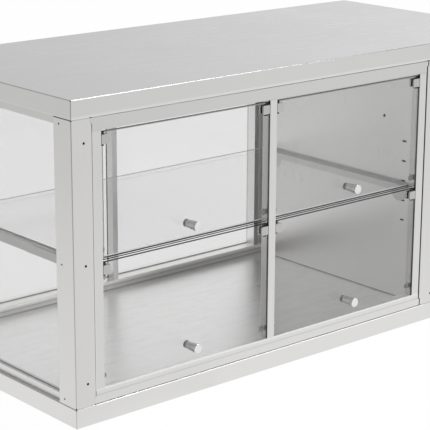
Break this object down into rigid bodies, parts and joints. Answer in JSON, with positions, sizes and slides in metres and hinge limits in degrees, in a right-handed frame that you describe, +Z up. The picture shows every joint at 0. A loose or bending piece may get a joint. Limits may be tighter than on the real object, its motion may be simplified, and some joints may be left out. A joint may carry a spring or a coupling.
{
  "type": "countertop refrigerated display case",
  "caption": "Stainless steel countertop refrigerated display case: glass walls and shelf, cold floor, top-hung glass flaps with knobs on the operator side, machine compartment at one end.",
  "frame": {"origin": "middle of the plinth's underside, on the surface that the case stands on", "axes": "+X along the length towards the machine compartment, +Y from the flaps towards the customer's glass, +Z up"},
  "size_m": [1.412, 0.678, 0.7],
  "materials": {
    "steel": "fine brushed stainless steel sheet",
    "polished_steel": "satin turned stainless steel",
    "glass": "clear toughened glass with ground edges",
    "black_rubber": "matt black rubber",
    "grey_silicone": "smooth grey silicone",
    "nylon": "natural nylon",
    "foam": "rigid foam",
    "copper": "drawn copper tube",
    "black_paint": "satin black enamel",
    "aluminium": "mill finish aluminium",
    "black_plastic": "fine textured black plastic"
  },
  "bodies": {
    "cabinet": {"plinth": "steel", "bottom_pan": "steel", "well_floor": "steel", "front_left_post": "steel", "rear_left_post": "steel", "front_right_post": "steel", "rear_right_post": "steel", "partition_wall": "steel", "door_top_rail": "steel", "door_bottom_rail": "steel", "door_left_stile": "steel", "door_right_stile": "steel", "door_mullion": "steel", "flap_stops": "steel", "side_rails": "steel", "rear_rails": "steel", "rear_uprights": "steel", "hood": "steel", "ceiling_liner": "steel", "shelf_supports": "steel", "machine_front_panel": "steel", "machine_side_panel": "steel", "machine_rear_panel": "steel", "base_insulation": "foam", "evaporator_coil": "copper", "hinge_bushes": "nylon", "partition_insulation": "black_rubber", "flap_buffers": "black_rubber", "side_glass": "glass", "rear_glass": "glass", "glazing_seals": "grey_silicone", "shelf_glass": "glass", "compressor": "black_paint", "condenser": "aluminium", "fan_shroud": "black_paint", "fan_motor": "black_paint", "refrigerant_lines": "copper", "thermostat": "black_plastic", "switch_housing": "black_plastic", "mains_inlet": "black_plastic", "frame_screws": "black_paint"},
    "upper_left_flap": {"upper_left_flap_glass": "glass", "upper_left_flap_fittings": "polished_steel", "upper_left_flap_gaskets": "black_rubber", "upper_left_flap_knob": "polished_steel"},
    "lower_left_flap": {"lower_left_flap_glass": "glass", "lower_left_flap_fittings": "polished_steel", "lower_left_flap_gaskets": "black_rubber", "lower_left_flap_knob": "polished_steel"},
    "upper_right_flap": {"upper_right_flap_glass": "glass", "upper_right_flap_fittings": "polished_steel", "upper_right_flap_gaskets": "black_rubber", "upper_right_flap_knob": "polished_steel"},
    "lower_right_flap": {"lower_right_flap_glass": "glass", "lower_right_flap_fittings": "polished_steel", "lower_right_flap_gaskets": "black_rubber", "lower_right_flap_knob": "polished_steel"},
    "fan": {"fan_rotor": "aluminium"},
    "dial": {"thermostat_dial": "black_plastic"},
    "rocker": {"switch_rocker": "black_plastic"}
  },
  "joints": [
    {"name": "upper_left_flap_hinge", "type": "hinge", "parent": "cabinet", "child": "upper_left_flap", "pos_m": [-0.3989, -0.3145, 0.6095], "axis": [-1, 0, 0], "range_deg": [0, 90]},
    {"name": "lower_left_flap_hinge", "type": "hinge", "parent": "cabinet", "child": "lower_left_flap", "pos_m": [-0.3989, -0.3145, 0.33275], "axis": [-1, 0, 0], "range_deg": [0, 90]},
    {"name": "upper_right_flap_hinge", "type": "hinge", "parent": "cabinet", "child": "upper_right_flap", "pos_m": [0.0857, -0.3145, 0.6095], "axis": [-1, 0, 0], "range_deg": [0, 90]},
    {"name": "lower_right_flap_hinge", "type": "hinge", "parent": "cabinet", "child": "lower_right_flap", "pos_m": [0.0857, -0.3145, 0.33275], "axis": [-1, 0, 0], "range_deg": [0, 90]},
    {"name": "fan_spin", "type": "hinge", "parent": "cabinet", "child": "fan", "pos_m": [0.5557, -0.1075, 0.174], "axis": [1, 0, 0], "continuous": true},
    {"name": "dial_turn", "type": "hinge", "parent": "cabinet", "child": "dial", "pos_m": [0.499, -0.3238, 0.56], "axis": [0, 1, 0], "range_deg": [0, 270]},
    {"name": "rocker_tip", "type": "hinge", "parent": "cabinet", "child": "rocker", "pos_m": [0.499, -0.3185, 0.47], "axis": [0, 0, 1], "range_deg": [0, 20]}
  ]
}
